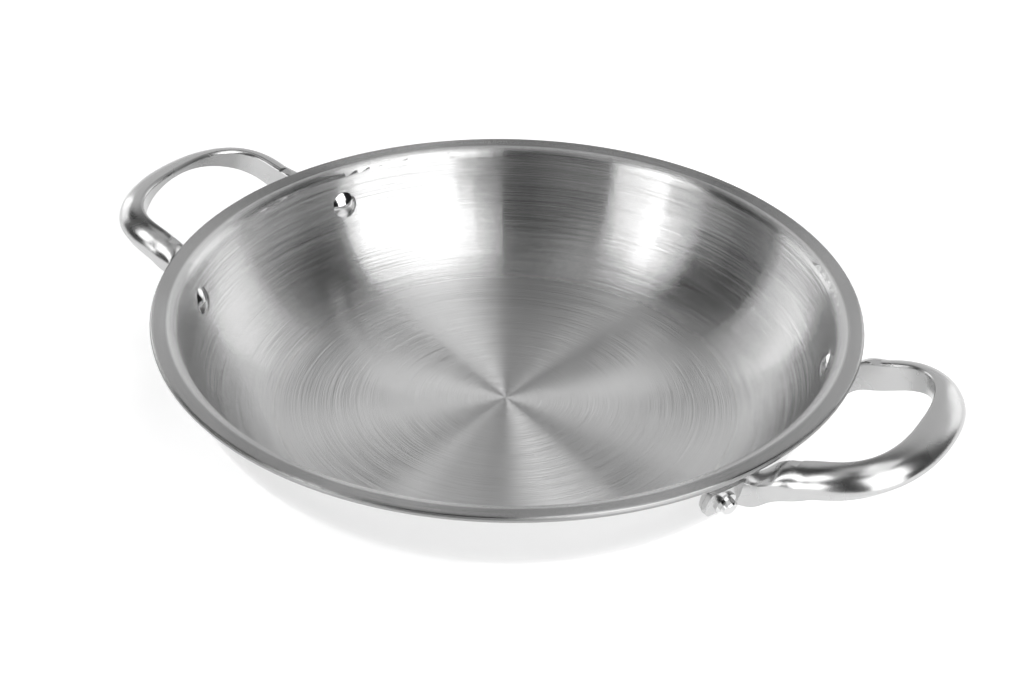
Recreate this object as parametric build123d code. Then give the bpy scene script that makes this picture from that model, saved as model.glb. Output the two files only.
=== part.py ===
from build123d import *
import math
import os

# Two-handled clad steel frying pan. Millimetres, +Z up.
# The origin is the centre of the flat underside, and the handles lie along +X and -X.

# The pan's body
RIM_RADIUS = 150.0
COOKING_DEPTH = 53.0
SKIN_THICKNESS = 0.5
CORE_THICKNESS = 1.7
CORNER_RADIUS = 50.0
WALL_LEAN = 10.0
LIP_SLOPE = 10.0
LIP_REACH = 7.8
NECK_RADIUS = 1.8

# A handle's outline seen from above, measured to its inner edge
HANDLE_HALF_OPENING = 37.5
LEG_PAST_RIM = 9.0
LEG_SPLAY = 0.08
BOW_DEPTH = 24.0
BOW_SQUARENESS = 2.6
ROOT_INSIDE_RIM = 16.0
ROOT_IN_WALL = 3.0

# A handle's rise, measured from the plane of the rim to its inner top edge
LEG_LEVEL = -1.0
LEG_RISE = 0.35
GRIP_DROOP = 2.7
SHOULDER_DROP = 4.4
SHOULDER_LENGTH = 13.0

# A handle's cross-section, at its legs and at the middle of its grip
LEG_WIDTH = 11.0
GRIP_WIDTH = 14.0
LEG_INNER_HEIGHT = 13.5
GRIP_INNER_HEIGHT = 3.5
LEG_OUTER_HEIGHT = 13.6
GRIP_OUTER_HEIGHT = 7.5
LEG_EDGE_DROP = 8.7
GRIP_EDGE_DROP = 6.5
ROOT_EDGE_DROP = 2.0
ROOT_WIDTH = 8.0
INNER_ROUND = 1.6
STRIP_INSET = 1.4
SECTION_SPACING = 5.5
EDGE_STEPS = 120

# Where a handle's section changes, as shares of its leg's length or of half the bar's
SHOULDER_FROM = 0.1
ROOT_UNTIL = 0.5
ROOT_EDGE_UNTIL = 0.8
INNER_TAPER_FROM = 0.7
OUTER_TAPER_FROM = 0.5
OUTER_TAPER_UNTIL = 0.85

# The pull on a handle's curved top, as shares of its reach and of its edge's drop
TOP_PULL = 0.55
TOP_FALL = 0.03
SIDE_PULL = 0.03
SIDE_FALL = 0.5

# The riveted pads at the feet of the legs, each running under a share of its leg's width
PAD_THICKNESS = 2.2
PAD_ABOVE_RIVET = 6.3
PAD_BELOW_RIVET = 6.6
PAD_PAST_RIVET = 9.2
PAD_NOSE = 1.6
PAD_CORNER = 2.0
PAD_UNDER_LEG = 0.7

# The rivets
RIVET_DROP = 18.6
RIVET_FROM_LEG = 5.2
RIVET_HEAD_DIAMETER = 12.4
RIVET_HEAD_HEIGHT = 2.3
RIVET_HEAD_EDGE = 0.5
RIVET_SHANK_DIAMETER = 6.0
RIVET_COLLAR_DIAMETER = 9.4
RIVET_COLLAR_HEIGHT = 0.9
RIVET_TAIL_DIAMETER = 6.6
RIVET_TAIL_LENGTH = 4.2
RIVET_TAIL_CHAMFER = 0.6

# Clearances
HOLE_CLEARANCE = 0.1
LIP_CLEARANCE = 0.5

# Lengths that follow from the sizes above
SHEET_THICKNESS = CORE_THICKNESS + 2 * SKIN_THICKNESS
PAN_HEIGHT = COOKING_DEPTH + SHEET_THICKNESS
LEG_LENGTH = ROOT_INSIDE_RIM + LEG_PAST_RIM
LEAN = math.radians(WALL_LEAN)
SLOPE = math.radians(LIP_SLOPE)
FAR = 3 * RIM_RADIUS


def wall_radius(height, depth=0.0):
    """Radius of the straight wall at a height, a depth into the metal from outside."""
    outside = RIM_RADIUS - LIP_REACH - (PAN_HEIGHT - height) * math.tan(LEAN)
    return outside - depth / math.cos(LEAN)


CORNER_CENTRE = Vector(wall_radius(CORNER_RADIUS) - CORNER_RADIUS / math.cos(LEAN), 0, CORNER_RADIUS)
LIP_END = Vector(RIM_RADIUS - SHEET_THICKNESS / 2, 0, PAN_HEIGHT - SHEET_THICKNESS / 2)


def outside_at(height):
    """Outer radius and the wall's lean from vertical at a height, on the rounded corner or above."""
    below = CORNER_CENTRE.Z - height
    if below <= CORNER_RADIUS * math.sin(LEAN):
        return wall_radius(height), LEAN
    lean = math.asin(below / CORNER_RADIUS)
    return CORNER_CENTRE.X + CORNER_RADIUS * math.cos(lean), lean


def along(start, angle, length):
    """The point a length away from start, at an angle above the horizontal."""
    return start + Vector(math.cos(angle), 0, math.sin(angle)) * length


def lip_point(radius, depth):
    """A point on the lip's line at a depth into the metal, at a radius."""
    base = along(LIP_END, SLOPE - math.pi / 2, SHEET_THICKNESS / 2 - depth)
    return along(base, SLOPE, (radius - base.X) / math.cos(SLOPE))


def neck_centre():
    """Centre of the bend between wall and lip, which lies outside the wall."""
    up_wall = Vector(math.sin(LEAN), 0, math.cos(LEAN))
    on_wall = Vector(wall_radius(0, -NECK_RADIUS), 0, 0)
    on_lip = lip_point(RIM_RADIUS, -NECK_RADIUS)
    lip_way = Vector(math.cos(SLOPE), 0, math.sin(SLOPE))
    gap = on_lip - on_wall
    cross = up_wall.X * lip_way.Z - up_wall.Z * lip_way.X
    reach = (gap.X * lip_way.Z - gap.Z * lip_way.X) / cross
    return on_wall + up_wall * reach


NECK_CENTRE = neck_centre()


def surface_edges(depth):
    """The pan's section line at a depth into the metal: floor, corner, wall, neck and lip."""
    corner = CORNER_RADIUS - depth
    neck = NECK_RADIUS + depth
    floor_start = Vector(0, 0, depth)
    floor_end = Vector(CORNER_CENTRE.X, 0, depth)
    corner_middle = along(CORNER_CENTRE, -(LEAN + math.pi / 2) / 2, corner)
    corner_end = along(CORNER_CENTRE, -LEAN, corner)
    neck_start = along(NECK_CENTRE, math.pi - LEAN, neck)
    neck_middle = along(NECK_CENTRE, (3 * math.pi / 2 - LEAN + SLOPE) / 2, neck)
    neck_end = along(NECK_CENTRE, math.pi / 2 + SLOPE, neck)
    return [
        Edge.make_line(floor_start, floor_end),
        Edge.make_three_point_arc(floor_end, corner_middle, corner_end),
        Edge.make_line(corner_end, neck_start),
        Edge.make_three_point_arc(neck_start, neck_middle, neck_end),
        Edge.make_line(neck_end, lip_point(RIM_RADIUS + LIP_REACH, depth)),
    ]


def section_between(outer_depth, inner_depth):
    """The section of the sheet between two depths, from the axis to past the lip's end."""
    outer = surface_edges(outer_depth)
    inner = surface_edges(inner_depth)
    axis = Edge.make_line(inner[0].position_at(0), outer[0].position_at(0))
    end = Edge.make_line(outer[-1].position_at(1), inner[-1].position_at(1))
    return Face(Wire(outer + inner + [axis, end]))


def rounded_end():
    """Everything inside the lip's rounded end, so that all plies share one edge."""
    half = SHEET_THICKNESS / 2
    top = along(LIP_END, SLOPE + math.pi / 2, half)
    tip = along(LIP_END, SLOPE, half)
    bottom = along(LIP_END, SLOPE - math.pi / 2, half)
    above = along(top, SLOPE + math.pi / 2, RIM_RADIUS)
    below = along(bottom, SLOPE - math.pi / 2, RIM_RADIUS)
    far_above = along(above, SLOPE + math.pi, FAR)
    far_below = along(below, SLOPE + math.pi, FAR)
    sides = [
        Edge.make_line(bottom, below),
        Edge.make_line(below, far_below),
        Edge.make_line(far_below, far_above),
        Edge.make_line(far_above, above),
        Edge.make_line(above, top),
        Edge.make_three_point_arc(top, tip, bottom),
    ]
    return Face(Wire(sides))


def lathe(face):
    return revolve(face, Axis.Z, 360)


def sheet(outer_depth, inner_depth):
    """One ply of the pan's wall and floor, spun about the axis."""
    return lathe(section_between(outer_depth, inner_depth) & rounded_end())


def filled_body(growth):
    """The pan as a filled block, grown outwards, with the lip's underside as its roof."""
    edges = surface_edges(-growth)
    start = edges[0].position_at(0)
    end = edges[-1].position_at(1)
    corner = Vector(end.X, 0, PAN_HEIGHT + RIM_RADIUS)
    top = Vector(0, 0, corner.Z)
    closing = [Edge.make_line(end, corner), Edge.make_line(corner, top), Edge.make_line(top, start)]
    return lathe(Face(Wire(edges + closing)))


def under_lip():
    """Space that the lip and its clearance take from a handle, outside the wall."""
    low = lip_point(0, 0) - Vector(0, 0, LIP_CLEARANCE)
    high = lip_point(RIM_RADIUS, 0) - Vector(0, 0, LIP_CLEARANCE)
    roof = PAN_HEIGHT + RIM_RADIUS
    outline = Polyline(low, high, Vector(high.X, 0, roof), Vector(0, 0, roof), close=True)
    return lathe(Face(Wire(outline.edges())))


def ease(position, start, end):
    """Rises smoothly from 0 at start to 1 at end."""
    share = min(max((position - start) / (end - start), 0.0), 1.0)
    return share * share * (3 - 2 * share)


def bow_point(turn):
    """A point of the inner edge, from a leg's end at turn 0 to the grip's middle at 1."""
    angle = turn * math.pi / 2
    power = 2 / BOW_SQUARENESS
    out = RIM_RADIUS + LEG_PAST_RIM + BOW_DEPTH * math.sin(angle) ** power
    return (out, -HANDLE_HALF_OPENING * math.cos(angle) ** power)


def leg_point(inside):
    """A point of the inner edge on the straight leg, a way in from the leg's outer end."""
    out = RIM_RADIUS + LEG_PAST_RIM - inside
    return (out, -HANDLE_HALF_OPENING - LEG_SPLAY * inside)


def leg_start():
    """How far in from its outer end a leg starts, so that its root lies well inside the wall."""
    root_side = HANDLE_HALF_OPENING + LEG_SPLAY * LEG_LENGTH + LEG_WIDTH
    lowest = PAN_HEIGHT + LEG_LEVEL - LEG_RISE * ROOT_INSIDE_RIM - SHOULDER_DROP - LEG_OUTER_HEIGHT
    radius, _ = outside_at(lowest)
    wall = math.sqrt(radius ** 2 - root_side ** 2)
    return max(LEG_LENGTH, RIM_RADIUS + LEG_PAST_RIM - wall + ROOT_IN_WALL)


def inner_edge():
    """Half of the inner edge as (length past the root, out, across), front leg first."""
    start = leg_start()
    points = [leg_point(start * (1 - step / EDGE_STEPS)) for step in range(EDGE_STEPS)]
    points += [bow_point(step / EDGE_STEPS) for step in range(EDGE_STEPS + 1)]
    length = -math.dist(points[0], leg_point(LEG_LENGTH))
    walked = [(length, *points[0])]
    for before, after in zip(points, points[1:]):
        length += math.dist(before, after)
        walked.append((length, *after))
    return walked


INNER_EDGE = inner_edge()
BAR_START = INNER_EDGE[0][0]
HALF_LENGTH = INNER_EDGE[-1][0]


def edge_at(length):
    """Place and outward direction of the inner edge, a length from the front root."""
    mirrored = length > HALF_LENGTH
    here = 2 * HALF_LENGTH - length if mirrored else length
    index = min(range(1, len(INNER_EDGE)), key=lambda i: abs(INNER_EDGE[i][0] - here))
    before = INNER_EDGE[index - 1]
    after = INNER_EDGE[min(index + 1, len(INNER_EDGE) - 1)]
    point = INNER_EDGE[index]
    run = Vector(after[1] - before[1], after[2] - before[2], 0).normalized()
    if index == len(INNER_EDGE) - 1:
        run = Vector(0, 1, 0)
    side = -1 if mirrored else 1
    place = Vector(point[1], side * point[2], 0)
    outward = Vector(run.Y, -side * run.X, 0)
    return here, place, outward


def handle_section(length):
    """The handle's cross-section: inner face, rounded top, crisp edge, strip and underside."""
    here, place, outward = edge_at(length)
    past_rim = max(place.X - RIM_RADIUS, -ROOT_INSIDE_RIM)
    share = past_rim / (LEG_PAST_RIM + BOW_DEPTH)
    level = LEG_LEVEL + LEG_RISE * past_rim - GRIP_DROOP * share ** 2
    level -= SHOULDER_DROP * (1 - ease(here, SHOULDER_FROM * LEG_LENGTH, SHOULDER_LENGTH))
    to_grip = ease(here, LEG_LENGTH, HALF_LENGTH)
    root = 1 - ease(here, 0, ROOT_UNTIL * LEG_LENGTH)
    width = LEG_WIDTH + (GRIP_WIDTH - LEG_WIDTH) * to_grip - (LEG_WIDTH - ROOT_WIDTH) * root
    in_way = ease(here, INNER_TAPER_FROM * LEG_LENGTH, HALF_LENGTH)
    out_way = ease(here, OUTER_TAPER_FROM * LEG_LENGTH, OUTER_TAPER_UNTIL * HALF_LENGTH)
    inner = LEG_INNER_HEIGHT + (GRIP_INNER_HEIGHT - LEG_INNER_HEIGHT) * in_way
    outer = LEG_OUTER_HEIGHT + (GRIP_OUTER_HEIGHT - LEG_OUTER_HEIGHT) * out_way
    edge = LEG_EDGE_DROP + (GRIP_EDGE_DROP - LEG_EDGE_DROP) * to_grip
    near_root = 1 - ease(here, 0, ROOT_EDGE_UNTIL * LEG_LENGTH)
    edge -= (LEG_EDGE_DROP - ROOT_EDGE_DROP) * near_root

    def at(out, up):
        return place + outward * out + Vector(0, 0, PAN_HEIGHT + level + up)

    cut = INNER_ROUND * (1 - math.sqrt(0.5))
    reach = width - INNER_ROUND
    top_start = at(INNER_ROUND, 0)
    crisp = at(width, -edge)
    strip_foot = at(width - STRIP_INSET, -outer)
    inner_foot = at(0, -inner)
    inner_top = at(0, -INNER_ROUND)
    pull_top = at(INNER_ROUND + TOP_PULL * reach, -TOP_FALL * edge)
    pull_side = at(width - SIDE_PULL * reach, -SIDE_FALL * edge)
    return Wire([
        Edge.make_line(strip_foot, inner_foot),
        Edge.make_line(inner_foot, inner_top),
        Edge.make_three_point_arc(inner_top, at(cut, -cut), top_start),
        Edge.make_bezier(top_start, pull_top, pull_side, crisp),
        Edge.make_line(crisp, strip_foot),
    ])


def handle_bar():
    """The bent bar of a handle, from one root inside the wall round to the other."""
    half = HALF_LENGTH - BAR_START
    count = 2 * round(half / SECTION_SPACING)
    lengths = [BAR_START + 2 * half * step / count for step in range(count + 1)]
    return Solid.make_loft([handle_section(length) for length in lengths])


RIVET_HEIGHT = PAN_HEIGHT - RIVET_DROP
RIVET_RADIUS, RIVET_TILT = outside_at(RIVET_HEIGHT)
RIVET_ACROSS = HANDLE_HALF_OPENING + LEG_WIDTH + RIVET_FROM_LEG
RIVET_TURN = math.asin(RIVET_ACROSS / RIVET_RADIUS)


def rivet_plane(side):
    """Plane on the wall's outer face at a rivet, its z axis pointing straight out of the wall."""
    turn = side * RIVET_TURN
    radial = Vector(math.cos(turn), math.sin(turn), 0)
    place = radial * RIVET_RADIUS + Vector(0, 0, RIVET_HEIGHT)
    normal = radial * math.cos(RIVET_TILT) - Vector(0, 0, math.sin(RIVET_TILT))
    around = Vector(-math.sin(turn), math.cos(turn), 0) * side
    return Plane(origin=place, x_dir=around, z_dir=normal)


def rivet_hole(side):
    length = 4 * (SHEET_THICKNESS + PAD_THICKNESS)
    radius = RIVET_SHANK_DIAMETER / 2 + HOLE_CLEARANCE
    return rivet_plane(side) * Cylinder(radius, length)


def pad_block(side):
    """The pad's outline drawn through the wall: flat top, nosed end, and a foot in the leg."""
    to_leg = RIVET_FROM_LEG + PAD_UNDER_LEG * LEG_WIDTH
    top = PAD_ABOVE_RIVET
    foot = -PAD_BELOW_RIVET
    tip = Vector(PAD_PAST_RIVET, (top + foot) / 2)
    top_corner = Vector(PAD_PAST_RIVET - PAD_NOSE, top)
    low_corner = Vector(PAD_PAST_RIVET - PAD_NOSE - PAD_CORNER, foot)
    outline = [
        Edge.make_line(Vector(-to_leg, foot), low_corner),
        Edge.make_three_point_arc(low_corner, tip, top_corner),
        Edge.make_line(top_corner, Vector(-to_leg, top)),
        Edge.make_line(Vector(-to_leg, top), Vector(-to_leg, foot)),
    ]
    turn = side * RIVET_TURN
    radial = Vector(math.cos(turn), math.sin(turn), 0)
    around = Vector(-math.sin(turn), math.cos(turn), 0) * side
    place = radial * (RIVET_RADIUS - CORNER_RADIUS / 2) + Vector(0, 0, RIVET_HEIGHT)
    plane = Plane(origin=place, x_dir=around, z_dir=around.cross(Vector(0, 0, 1)))
    depth = CORNER_RADIUS if plane.z_dir.dot(radial) > 0 else -CORNER_RADIUS
    return extrude(plane * Face(Wire(outline)), depth)


def handle(body, pad_body, lip_space):
    """A riveted loop handle: the bent bar and its two pads, seated on the wall."""
    bar = handle_bar() - body - lip_space
    solid = bar.solids().sort_by(SortBy.VOLUME)[-1]
    for side in (-1, 1):
        pad = (pad_block(side) & pad_body) - body
        solid = solid + pad.solids().sort_by(Axis.X)[-1]
    for side in (-1, 1):
        solid = solid - rivet_hole(side)
    return solid


def head_profile():
    """Half the section of a rivet's domed head, sunk a little so that it can be cut to the wall."""
    radius = RIVET_HEAD_DIAMETER / 2
    start = SHEET_THICKNESS - SKIN_THICKNESS
    edge = SHEET_THICKNESS + RIVET_HEAD_EDGE
    top = SHEET_THICKNESS + RIVET_HEAD_HEIGHT
    dome = top - edge
    bow = (radius ** 2 + dome ** 2) / (2 * dome)
    half = math.asin(radius / bow) / 2
    middle = Vector(bow * math.sin(half), 0, -(top - bow + bow * math.cos(half)))
    return Face(Wire([
        Edge.make_line(Vector(0, 0, -start), Vector(radius, 0, -start)),
        Edge.make_line(Vector(radius, 0, -start), Vector(radius, 0, -edge)),
        Edge.make_three_point_arc(Vector(radius, 0, -edge), middle, Vector(0, 0, -top)),
        Edge.make_line(Vector(0, 0, -top), Vector(0, 0, -start)),
    ]))


def tail_profile():
    """Half the section of a rivet's collar and stub, sunk a little so that it can be cut."""
    start = PAD_THICKNESS / 2
    shelf = PAD_THICKNESS + RIVET_COLLAR_HEIGHT
    end = PAD_THICKNESS + RIVET_TAIL_LENGTH
    collar = RIVET_COLLAR_DIAMETER / 2
    stub = RIVET_TAIL_DIAMETER / 2
    outline = Polyline(
        Vector(0, 0, start),
        Vector(collar, 0, start),
        Vector(collar, 0, shelf),
        Vector(stub, 0, shelf),
        Vector(stub, 0, end - RIVET_TAIL_CHAMFER),
        Vector(stub - RIVET_TAIL_CHAMFER, 0, end),
        Vector(0, 0, end),
        close=True,
    )
    return Face(Wire(outline.edges()))


def rivet(side, shell, body, pad_body):
    """A rivet with its head on the cooking side and its formed tail on the pad."""
    plane = rivet_plane(side)
    head = plane * lathe(head_profile()) - shell
    tail = plane * lathe(tail_profile()) - (pad_body & pad_block(side)) - body
    reach = SHEET_THICKNESS + RIVET_HEAD_EDGE
    length = reach + PAD_THICKNESS + RIVET_COLLAR_HEIGHT
    middle = (length - 2 * reach) / 2
    shank = plane * Pos(0, 0, middle) * Cylinder(RIVET_SHANK_DIAMETER / 2, length)
    return shank + head + tail


def save(name, solid):
    export_step(solid, os.path.join("parts", name + ".step"))


def main():
    os.makedirs("parts", exist_ok=True)
    body = filled_body(0)
    pad_body = filled_body(PAD_THICKNESS)
    shell = sheet(0, SHEET_THICKNESS)
    lip_space = under_lip()

    plies = {
        "outer_skin": sheet(0, SKIN_THICKNESS),
        "aluminium_core": sheet(SKIN_THICKNESS, SKIN_THICKNESS + CORE_THICKNESS),
        "inner_skin": sheet(SKIN_THICKNESS + CORE_THICKNESS, SHEET_THICKNESS),
    }
    half_turn = Rot(0, 0, 180)
    holes = [turn * rivet_hole(side) for turn in (Rot(), half_turn) for side in (-1, 1)]
    for name, ply in plies.items():
        for hole in holes:
            ply = ply - hole
        save(name, ply)

    right_handle = handle(body, pad_body, lip_space)
    save("handle_right", right_handle)
    save("handle_left", half_turn * right_handle)

    for side, near, far in ((-1, "front", "rear"), (1, "rear", "front")):
        fastener = rivet(side, shell, body, pad_body)
        save("rivet_right_" + near, fastener)
        save("rivet_left_" + far, half_turn * fastener)


main()
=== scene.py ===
import math

import bpy
from bpy.props import FloatProperty, FloatVectorProperty, PointerProperty
from bpy.types import Operator, Panel, PropertyGroup
from mathutils import Euler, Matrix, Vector


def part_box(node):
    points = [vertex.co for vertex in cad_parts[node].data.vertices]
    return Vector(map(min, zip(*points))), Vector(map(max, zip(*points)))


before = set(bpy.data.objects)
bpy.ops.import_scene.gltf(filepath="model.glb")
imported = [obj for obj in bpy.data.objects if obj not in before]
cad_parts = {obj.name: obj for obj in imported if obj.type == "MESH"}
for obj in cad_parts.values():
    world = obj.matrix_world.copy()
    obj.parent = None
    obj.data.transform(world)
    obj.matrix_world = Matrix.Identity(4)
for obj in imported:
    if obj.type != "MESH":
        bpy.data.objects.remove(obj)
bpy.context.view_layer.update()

bl_info = {
    "name": "Clad Steel Frying Pan",
    "version": (1, 0, 0),
    "blender": (4, 5, 0),
    "location": "View3D > Sidebar > Pan",
    "description": "Dresses a two-handled clad steel frying pan and sets it on a pale table",
    "category": "Object",
}

MM = 0.001
HANDLES = ("handle_right", "handle_left")
RIVETS = ("rivet_right_front", "rivet_right_rear", "rivet_left_front", "rivet_left_rear")
PAN_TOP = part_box("inner_skin")[1].z

# Most of a noise texture's values lie between these two
NOISE_RANGE = (0.3, 0.7)

# Radius, in noise cells, of the circle that the lines run round: a line fades over a tenth of a turn
LINE_CIRCLE = 1.6

# The ring between floor and wall reaches this far in and out of the floor's edge
RING_INNER = 3 * MM
RING_OUTER = 4 * MM

# How far the brushing's roughness strays, and how wide the fade into the lip's painted shade is
BRUSH_UNEVEN = 0.02
LIP_PAINTED_SHADE_FADE = 1.5 * MM

# A brushed highlight is drawn out across the grooves, a quarter turn from the tangent
BRUSH_STRETCH = 0.99
ACROSS_GROOVES = 0.25

# Size of the patches that a buffing wheel leaves, and how much duller or clearer they are
BUFFING_PATCH = 18 * MM
BUFFING_HAZE = (0.8, 1.25)

# Spacing of the marks that grinding the rim leaves, and their range of roughness
GRINDING_GRIT = 0.2 * MM
GROUND_ROUGHNESS = (0.32, 0.48)

# Each softbox: name, degrees right of the camera, degrees up, width and height in metres, and
# the brightness of its face, where 1 is white. They are matched to the stripes of light that the
# photographed bowl shows, and are brighter than white so that the stripes are as strong.
SOFTBOXES = (
    ("softbox_right_low", 40, 12, 1.4, 0.9, 2.6),
    ("softbox_right_middle", 42, 42, 1.8, 1.3, 2.4),
    ("softbox_right_high", 75, 72, 1.3, 0.9, 1.5),
    ("softbox_top", 180, 80, 1.0, 0.8, 0.6),
    ("softbox_left_low", -50, 12, 0.75, 0.9, 3.0),
    ("softbox_left_middle", -70, 42, 0.7, 1.1, 2.8),
    ("softbox_left_high", -75, 68, 0.9, 0.7, 0.6),
    ("softbox_back_right", 128, 12, 1.1, 0.9, 0.9),
    ("softbox_back_left", -128, 12, 1.1, 0.9, 1.6),
)

# The backdrop's middle in degrees right of the camera, the half angles between which its sides
# fade in, and the heights on a unit sphere between which its top fades out
BACKDROP_MIDDLE = 170
BACKDROP_SIDES = (62, 42)
BACKDROP_TOP = (0.62, 0.9)

# The distances from the pan over which the floor rises to plain white
WHITE_FLOOR = (0.5, 1.5)
FLOOR_SIDES = 96


def linear(code):
    """An sRGB hex value as linear red, green and blue."""
    channels = [int(code[start:start + 2], 16) / 255 for start in (1, 3, 5)]
    return [c / 12.92 if c <= 0.04045 else ((c + 0.055) / 1.055) ** 2.4 for c in channels]


def add(tree, kind, settings=None, links=None, **values):
    """Adds a node: its settings, its input values by name, and what feeds its inputs."""
    node = tree.nodes.new(kind)
    for name, value in (settings or {}).items():
        setattr(node, name, value)
    for name, value in values.items():
        key = int(name[1:]) if name[1:].isdigit() else name.replace("_", " ")
        node.inputs[key].default_value = value
    for name, source in (links or {}).items():
        tree.links.new(source, node.inputs[name])
    return node


def new_material(name):
    """A material with one Principled shader, and its node tree and shader."""
    material = bpy.data.materials.new(name)
    material.use_nodes = True
    tree = material.node_tree
    tree.nodes.clear()
    shader = add(tree, "ShaderNodeBsdfPrincipled")
    add(tree, "ShaderNodeOutputMaterial", links={"Surface": shader.outputs["BSDF"]})
    return material, tree, shader


def opaque(colour):
    """A colour with its alpha."""
    return (*colour, 1.0)


def dress(names, material):
    """Gives CAD nodes a material."""
    for name in names:
        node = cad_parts[name]
        node.data.materials.clear()
        node.data.materials.append(material)


class PanCameraSettings(PropertyGroup):
    # The place and turn are fitted to the photograph
    place: FloatVectorProperty(
        name="Place", description="Where the camera stands", subtype="XYZ", unit="LENGTH",
        default=(0.31929, -0.52734, 0.43455))
    turn: FloatVectorProperty(
        name="Turn", description="How the camera is turned", subtype="EULER", unit="ROTATION",
        default=[math.radians(angle) for angle in (56.9187, -0.9646, 31.6992)])
    lens: FloatProperty(
        name="Lens", description="Focal length", unit="CAMERA", default=60.0, min=1.0)


class PanFinishSettings(PropertyGroup):
    brushed_colour: FloatVectorProperty(
        name="Brushed steel", description="Colour of the brushed cooking surface",
        subtype="COLOR", default=linear("#DEDEDE"))
    # The lip's darker colour is painted shade, standing in for the dim reflection that the ground lip
    # shows
    lip_painted_shade_colour: FloatVectorProperty(
        name="Lip", description="Colour of the lip, ground flat",
        subtype="COLOR", default=linear("#AEAEAE"))
    lip_start: FloatProperty(
        name="Lip start", description="Radius where the ground lip begins",
        unit="LENGTH", default=142.5 * MM, min=0.0)
    polished_colour: FloatVectorProperty(
        name="Polished steel", description="Colour of the polished outside and the rivets",
        subtype="COLOR", default=linear("#D6D6D6"))
    cast_colour: FloatVectorProperty(
        name="Cast steel", description="Colour of the cast and polished handles",
        subtype="COLOR", default=linear("#C4C4C4"))
    core_colour: FloatVectorProperty(
        name="Aluminium", description="Colour of the core where it shows at the rim",
        subtype="COLOR", default=linear("#9C9C9C"))
    floor_roughness: FloatProperty(
        name="Floor roughness", description="Roughness of the flat floor, brushed with a coarse disc",
        subtype="FACTOR", default=0.3, min=0.0, max=1.0)
    wall_roughness: FloatProperty(
        name="Wall roughness", description="Roughness of the wall, brushed with a finer belt",
        subtype="FACTOR", default=0.22, min=0.0, max=1.0)
    sheet_roughness: FloatProperty(
        name="Outside roughness", description="Roughness of the polished outside",
        subtype="FACTOR", default=0.09, min=0.0, max=1.0)
    cast_roughness: FloatProperty(
        name="Handle roughness", description="Roughness of the cast handles, tumbled to a soft polish",
        subtype="FACTOR", default=0.25, min=0.0, max=1.0)
    rivet_roughness: FloatProperty(
        name="Rivet roughness", description="Roughness of the turned rivets",
        subtype="FACTOR", default=0.1, min=0.0, max=1.0)
    floor_edge: FloatProperty(
        name="Floor edge", description="Radius where the coarse brushing ends",
        unit="LENGTH", default=101.5 * MM, min=0.0)
    line_spacing: FloatProperty(
        name="Line spacing", description="Spacing of the grooves that brushing leaves",
        unit="LENGTH", default=0.04 * MM, min=0.01 * MM)
    groove_lean: FloatProperty(
        name="Groove lean", description="Slope of a groove's side where the noise is at its strongest",
        default=1.7, min=0.0, max=4.0)


class PanStudioSettings(PropertyGroup):
    floor_colour: FloatVectorProperty(
        name="Floor", description="Colour of the table",
        subtype="COLOR", default=linear("#F2F2F2"))
    floor_radius: FloatProperty(
        name="Floor radius", description="Radius of the table", unit="LENGTH", default=6.0, min=1.0)
    floor_glow: FloatProperty(
        name="Floor glow", description="Share of the floor's white that holds in shadow",
        subtype="FACTOR", default=0.5, min=0.0, max=1.0)
    backdrop: FloatProperty(
        name="Backdrop", description="Brightness of the pale backdrop behind the pan",
        subtype="FACTOR", default=0.68, min=0.0, max=1.0)
    ceiling: FloatProperty(
        name="Ceiling", description="Brightness of the dark studio round the lamps",
        subtype="FACTOR", default=0.02, min=0.0, max=1.0)
    lamp_distance: FloatProperty(
        name="Lamp distance", description="Distance of the lamps from the pan",
        unit="LENGTH", default=2.0, min=0.5)


def plane_radius(tree):
    """Distance from the pan's axis, its direction round the axis, and the place itself."""
    place = add(tree, "ShaderNodeTexCoord").outputs["Object"]
    flat = add(tree, "ShaderNodeVectorMath", {"operation": "MULTIPLY"}, {0: place}, _1=(1, 1, 0))
    length = add(tree, "ShaderNodeVectorMath", {"operation": "LENGTH"}, {0: flat.outputs[0]})
    around = add(tree, "ShaderNodeVectorMath", {"operation": "NORMALIZE"}, {0: flat.outputs[0]})
    return length.outputs["Value"], around.outputs[0], place


def turning_lines(tree, spacing, radius, around, place):
    """Noise drawn out round the axis: long arcs, a spacing apart up the wall and out along the floor."""
    height = add(tree, "ShaderNodeSeparateXYZ", links={0: place}).outputs["Z"]
    travel = add(tree, "ShaderNodeMath", {"operation": "ADD"}, {0: radius, 1: height})
    steps = add(tree, "ShaderNodeMath", {"operation": "DIVIDE"}, {0: travel.outputs[0]}, _1=spacing)
    arcs = add(tree, "ShaderNodeVectorMath", {"operation": "SCALE"}, {0: around}, Scale=LINE_CIRCLE)
    turn = add(tree, "ShaderNodeSeparateXYZ", links={0: arcs.outputs[0]})
    point = add(tree, "ShaderNodeCombineXYZ", links={
        "X": steps.outputs[0], "Y": turn.outputs["X"], "Z": turn.outputs["Y"]})
    noise = add(tree, "ShaderNodeTexNoise", links={"Vector": point.outputs[0]},
                Scale=1.0, Detail=2.0, Roughness=0.6)
    return noise.outputs["Fac"]


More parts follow.
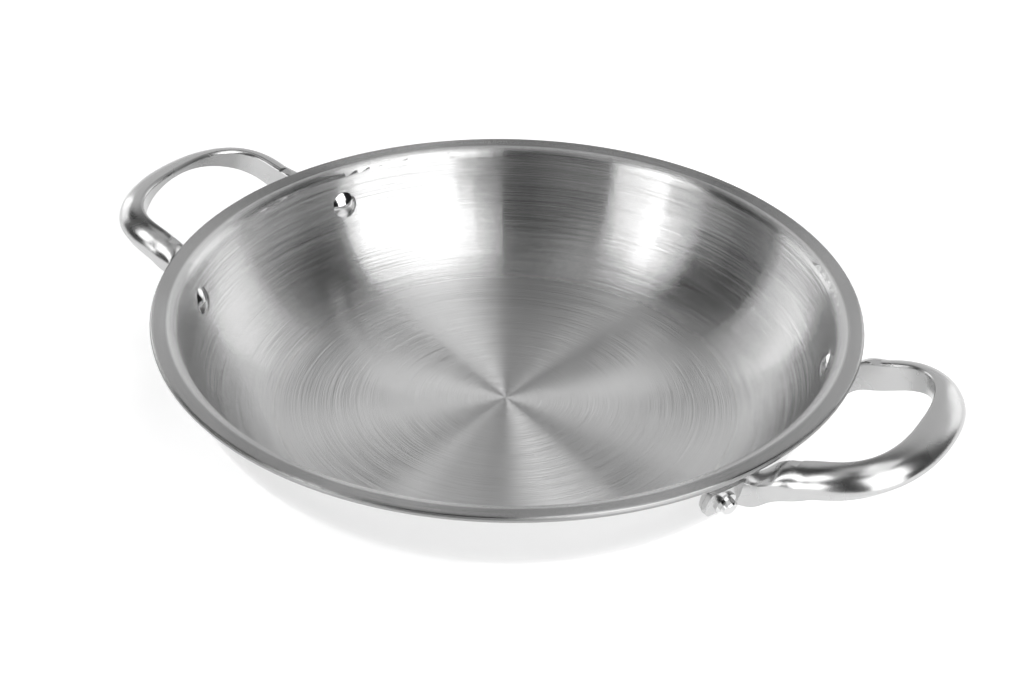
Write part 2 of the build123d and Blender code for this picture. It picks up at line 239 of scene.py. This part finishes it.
def brushed_steel(name, settings):
    """Spun stainless steel, brushed in circles.

    The fine grooves run round the axis, so each highlight spreads along the radius and the
    floor shows a star of light and dark wedges.
    """
    material, tree, shader = new_material(name)
    radius, around, place = plane_radius(tree)
    tangent = add(tree, "ShaderNodeTangent", {"direction_type": "RADIAL", "axis": "Z"})
    tree.links.new(tangent.outputs["Tangent"], shader.inputs["Tangent"])
    lines = turning_lines(tree, settings.line_spacing, radius, around, place)

    # The coarse disc leaves the floor duller than the wall, with a faint ring between them
    edge = settings.floor_edge
    dull = add(tree, "ShaderNodeMapRange", {"interpolation_type": "SMOOTHSTEP"}, {"Value": radius},
               From_Min=edge - RING_INNER, From_Max=edge + RING_OUTER,
               To_Min=settings.floor_roughness, To_Max=settings.wall_roughness)
    uneven = add(tree, "ShaderNodeMapRange", links={"Value": lines},
                 From_Min=NOISE_RANGE[0], From_Max=NOISE_RANGE[1],
                 To_Min=-BRUSH_UNEVEN, To_Max=BRUSH_UNEVEN)
    rough = add(tree, "ShaderNodeMath", {"operation": "ADD"}, {
        0: dull.outputs[0], 1: uneven.outputs[0]})
    tree.links.new(rough.outputs[0], shader.inputs["Roughness"])

    # Each groove leans the surface in or out but never round the axis, so stripes of light
    # stay sharp at their sides and run from the floor up to the lip
    surface = add(tree, "ShaderNodeNewGeometry")
    across = add(tree, "ShaderNodeVectorMath", {"operation": "CROSS_PRODUCT"}, {
        0: surface.outputs["Normal"], 1: tangent.outputs["Tangent"]})
    lean = add(tree, "ShaderNodeMapRange", links={"Value": lines},
               To_Min=-settings.groove_lean, To_Max=settings.groove_lean)
    leaned = add(tree, "ShaderNodeVectorMath", {"operation": "SCALE"}, {
        0: across.outputs[0], "Scale": lean.outputs[0]})
    tipped = add(tree, "ShaderNodeVectorMath", {"operation": "ADD"}, {
        0: surface.outputs["Normal"], 1: leaned.outputs[0]})
    normal = add(tree, "ShaderNodeVectorMath", {"operation": "NORMALIZE"}, {0: tipped.outputs[0]})
    tree.links.new(normal.outputs[0], shader.inputs["Normal"])

    # The lip is ground flat after forming. Its darker band round the bowl is painted shade: a darker
    # base colour stands in for the dim reflection that the lip shows
    lip = add(tree, "ShaderNodeMapRange", {"interpolation_type": "SMOOTHSTEP"}, {"Value": radius},
              From_Min=settings.lip_start, From_Max=settings.lip_start + LIP_PAINTED_SHADE_FADE)
    shade = add(tree, "ShaderNodeMix", {"data_type": "RGBA"}, {0: lip.outputs[0]},
                _6=opaque(settings.brushed_colour), _7=opaque(settings.lip_painted_shade_colour))
    tree.links.new(shade.outputs[2], shader.inputs["Base Color"])
    shader.inputs["Metallic"].default_value = 1.0
    shader.inputs["Anisotropic"].default_value = BRUSH_STRETCH
    shader.inputs["Anisotropic Rotation"].default_value = ACROSS_GROOVES
    return material


def polished_steel(name, colour, roughness):
    """Stainless steel polished on a buffing wheel, so its reflections are clearer in patches."""
    material, tree, shader = new_material(name)
    place = add(tree, "ShaderNodeTexCoord").outputs["Object"]
    buffing = add(tree, "ShaderNodeTexNoise", links={"Vector": place}, Scale=1 / BUFFING_PATCH,
                  Detail=2.0, Roughness=0.5)
    haze = add(tree, "ShaderNodeMapRange", links={"Value": buffing.outputs["Fac"]},
               From_Min=NOISE_RANGE[0], From_Max=NOISE_RANGE[1],
               To_Min=roughness * BUFFING_HAZE[0], To_Max=roughness * BUFFING_HAZE[1])
    tree.links.new(haze.outputs[0], shader.inputs["Roughness"])
    shader.inputs["Base Color"].default_value = opaque(colour)
    shader.inputs["Metallic"].default_value = 1.0
    return material


def cut_aluminium(name, settings):
    """Aluminium core, cut and ground at the rim, so its thin edge is duller than the steel."""
    material, tree, shader = new_material(name)
    radius, around, place = plane_radius(tree)
    marks = turning_lines(tree, GRINDING_GRIT, radius, around, place)
    dull = add(tree, "ShaderNodeMapRange", links={"Value": marks},
               From_Min=NOISE_RANGE[0], From_Max=NOISE_RANGE[1],
               To_Min=GROUND_ROUGHNESS[0], To_Max=GROUND_ROUGHNESS[1])
    tree.links.new(dull.outputs[0], shader.inputs["Roughness"])
    shader.inputs["Base Color"].default_value = opaque(settings.core_colour)
    shader.inputs["Metallic"].default_value = 1.0
    return material


class PAN_OT_camera(Operator):
    """Sets the camera at the photograph's viewing angle"""
    bl_idname = "pan.camera"
    bl_label = "Camera"

    def execute(self, context):
        settings = context.scene.pan_camera
        data = bpy.data.cameras.new("camera")
        data.lens = settings.lens
        camera = bpy.data.objects.new("camera", data)
        camera.location = settings.place
        camera.rotation_euler = Euler(settings.turn)
        context.scene.collection.objects.link(camera)
        context.scene.camera = camera
        return {"FINISHED"}


class PAN_OT_cooking_surface(Operator):
    """Gives the inner skin its brushed cooking surface"""
    bl_idname = "pan.cooking_surface"
    bl_label = "Cooking surface"

    def execute(self, context):
        dress(["inner_skin"], brushed_steel("stainless_steel_spun_brushed", context.scene.pan_finish))
        return {"FINISHED"}


class PAN_OT_outside(Operator):
    """Gives the outer skin its mirror polish, and the core its cut edge"""
    bl_idname = "pan.outside"
    bl_label = "Outside and core"

    def execute(self, context):
        settings = context.scene.pan_finish
        dress(["outer_skin"], polished_steel(
            "stainless_steel_sheet_polished", settings.polished_colour, settings.sheet_roughness))
        dress(["aluminium_core"], cut_aluminium("aluminium_core_cut", settings))
        return {"FINISHED"}


class PAN_OT_handles(Operator):
    """Gives the loop handles their polish"""
    bl_idname = "pan.handles"
    bl_label = "Handles"

    def execute(self, context):
        settings = context.scene.pan_finish
        dress(HANDLES, polished_steel(
            "stainless_steel_cast_polished", settings.cast_colour, settings.cast_roughness))
        return {"FINISHED"}


class PAN_OT_rivets(Operator):
    """Gives the rivets their finish"""
    bl_idname = "pan.rivets"
    bl_label = "Rivets"

    def execute(self, context):
        settings = context.scene.pan_finish
        dress(RIVETS, polished_steel(
            "stainless_steel_rivet_turned", settings.polished_colour, settings.rivet_roughness))
        return {"FINISHED"}


class PAN_OT_stage(Operator):
    """Makes the pale table, the backdrop and the lamps"""
    bl_idname = "pan.stage"
    bl_label = "Stage"

    def execute(self, context):
        settings = context.scene.pan_studio
        self.make_floor(context, settings)
        self.make_world(context, settings)
        view_azimuth = self.view_azimuth(context)
        for name, azimuth, height, across, up, glow in SOFTBOXES:
            turn = math.radians(view_azimuth + azimuth)
            rise = math.radians(height)
            way = Vector((
                math.sin(turn) * math.cos(rise), -math.cos(turn) * math.cos(rise), math.sin(rise)))
            data = bpy.data.lights.new(name, "AREA")
            data.shape = "RECTANGLE"
            data.size = across
            data.size_y = up
            data.energy = glow * math.pi * across * up
            lamp = bpy.data.objects.new(name, data)
            lamp.location = way * settings.lamp_distance + Vector((0, 0, PAN_TOP))
            lamp.rotation_euler = way.to_track_quat("Z", "Y").to_euler()
            context.scene.collection.objects.link(lamp)
        context.scene.view_settings.view_transform = "Standard"
        return {"FINISHED"}

    def view_azimuth(self, context):
        """The camera's direction round the pan, in degrees."""
        place = context.scene.pan_camera.place
        return math.degrees(math.atan2(place[0], -place[1]))

    def make_floor(self, context, settings):
        """A round table that shows white to the camera and pale in the metal, and keeps the shadow."""
        mesh = bpy.data.meshes.new("floor")
        turns = [math.tau * side / FLOOR_SIDES for side in range(FLOOR_SIDES)]
        rim = [(math.cos(turn), math.sin(turn)) for turn in turns]
        mesh.from_pydata([(x * settings.floor_radius, y * settings.floor_radius, 0) for x, y in rim],
                         [], [list(range(FLOOR_SIDES))])
        floor = bpy.data.objects.new("floor", mesh)
        context.scene.collection.objects.link(floor)
        material = bpy.data.materials.new("paper_backdrop_matt")
        material.use_nodes = True
        tree = material.node_tree
        tree.nodes.clear()
        path = add(tree, "ShaderNodeLightPath")
        # Far from the lamps the floor glows up to plain white, so that no horizon shows
        place = add(tree, "ShaderNodeTexCoord").outputs["Object"]
        distance = add(tree, "ShaderNodeVectorMath", {"operation": "LENGTH"}, {0: place})
        far = add(tree, "ShaderNodeMapRange", links={"Value": distance.outputs["Value"]},
                  From_Min=WHITE_FLOOR[0], From_Max=WHITE_FLOOR[1], To_Min=settings.floor_glow)
        seen = add(tree, "ShaderNodeMath", {"operation": "MULTIPLY"}, {
            0: path.outputs["Is Camera Ray"], 1: far.outputs[0]})
        mirrored = add(tree, "ShaderNodeMath", {"operation": "MAXIMUM"}, {
            0: path.outputs["Is Glossy Ray"], 1: path.outputs["Is Transmission Ray"]})
        near = add(tree, "ShaderNodeMath", {"operation": "MULTIPLY"}, {
            0: mirrored.outputs[0]}, _1=settings.floor_glow)
        glow = add(tree, "ShaderNodeMath", {"operation": "MAXIMUM"}, {
            0: seen.outputs[0], 1: near.outputs[0]})
        light = add(tree, "ShaderNodeEmission", links={"Strength": glow.outputs[0]})
        paper = add(tree, "ShaderNodeBsdfDiffuse", Color=opaque(settings.floor_colour))
        both = add(tree, "ShaderNodeAddShader", links={0: light.outputs[0], 1: paper.outputs[0]})
        add(tree, "ShaderNodeOutputMaterial", links={"Surface": both.outputs[0]})
        mesh.materials.append(material)

    def make_world(self, context, settings):
        """White behind everything that the camera sees.

        The metal shows a pale backdrop behind the pan instead, and a dark studio round it, because
        white all round would leave the steel without its dark stripes.
        """
        world = bpy.data.worlds.new("studio")
        world.use_nodes = True
        context.scene.world = world
        tree = world.node_tree
        tree.nodes.clear()
        way = add(tree, "ShaderNodeTexCoord")
        height = add(tree, "ShaderNodeSeparateXYZ", links={0: way.outputs["Generated"]})
        flat = add(tree, "ShaderNodeVectorMath", {"operation": "MULTIPLY"}, {
            0: way.outputs["Generated"]}, _1=(1, 1, 0))
        level = add(tree, "ShaderNodeVectorMath", {"operation": "NORMALIZE"}, {0: flat.outputs[0]})
        turn = math.radians(self.view_azimuth(context) + BACKDROP_MIDDLE)
        toward = add(tree, "ShaderNodeVectorMath", {"operation": "DOT_PRODUCT"}, {
            0: level.outputs[0]}, _1=(math.sin(turn), -math.cos(turn), 0))
        start, end = (math.cos(math.radians(angle)) for angle in BACKDROP_SIDES)
        behind = add(tree, "ShaderNodeMapRange", {"interpolation_type": "SMOOTHSTEP"}, {
            "Value": toward.outputs["Value"]}, From_Min=start, From_Max=end, To_Max=settings.backdrop)
        low = add(tree, "ShaderNodeMapRange", {"interpolation_type": "SMOOTHSTEP"}, {
            "Value": height.outputs["Z"]}, From_Min=BACKDROP_TOP[0], From_Max=BACKDROP_TOP[1],
            To_Min=1.0, To_Max=0.0)
        paper = add(tree, "ShaderNodeMath", {"operation": "MULTIPLY"}, {
            0: behind.outputs[0], 1: low.outputs[0]})
        dark = add(tree, "ShaderNodeMath", {"operation": "ADD"}, {0: paper.outputs[0]},
                   _1=settings.ceiling)
        path = add(tree, "ShaderNodeLightPath")
        shown = add(tree, "ShaderNodeMath", {"operation": "MAXIMUM"}, {
            0: dark.outputs[0], 1: path.outputs["Is Camera Ray"]})
        light = add(tree, "ShaderNodeBackground", links={"Strength": shown.outputs[0]},
                    Color=opaque(linear("#FFFFFF")))
        add(tree, "ShaderNodeOutputWorld", links={"Surface": light.outputs[0]})


class VIEW3D_PT_pan(Panel):
    """The pan's sizes, colours and steps"""
    bl_idname = "VIEW3D_PT_pan"
    bl_label = "Frying pan"
    bl_space_type = "VIEW_3D"
    bl_region_type = "UI"
    bl_category = "Pan"

    def draw(self, context):
        for group in (context.scene.pan_camera, context.scene.pan_finish, context.scene.pan_studio):
            for name in group.__annotations__:
                self.layout.prop(group, name)
        for step in STEPS:
            self.layout.operator(step.bl_idname)


GROUPS = {
    "pan_camera": PanCameraSettings,
    "pan_finish": PanFinishSettings,
    "pan_studio": PanStudioSettings,
}
STEPS = (
    PAN_OT_camera,
    PAN_OT_stage,
    PAN_OT_cooking_surface,
    PAN_OT_outside,
    PAN_OT_handles,
    PAN_OT_rivets,
)
CLASSES = (*GROUPS.values(), *STEPS, VIEW3D_PT_pan)


def register():
    for cls in CLASSES:
        bpy.utils.register_class(cls)
    for name, group in GROUPS.items():
        setattr(bpy.types.Scene, name, PointerProperty(type=group))


def unregister():
    for name in GROUPS:
        delattr(bpy.types.Scene, name)
    for cls in reversed(CLASSES):
        bpy.utils.unregister_class(cls)


def main():
    register()
    bpy.ops.pan.camera()
    bpy.ops.pan.stage()
    bpy.ops.pan.cooking_surface()
    bpy.ops.pan.outside()
    bpy.ops.pan.handles()
    bpy.ops.pan.rivets()


if __name__ == "__main__":
    main()
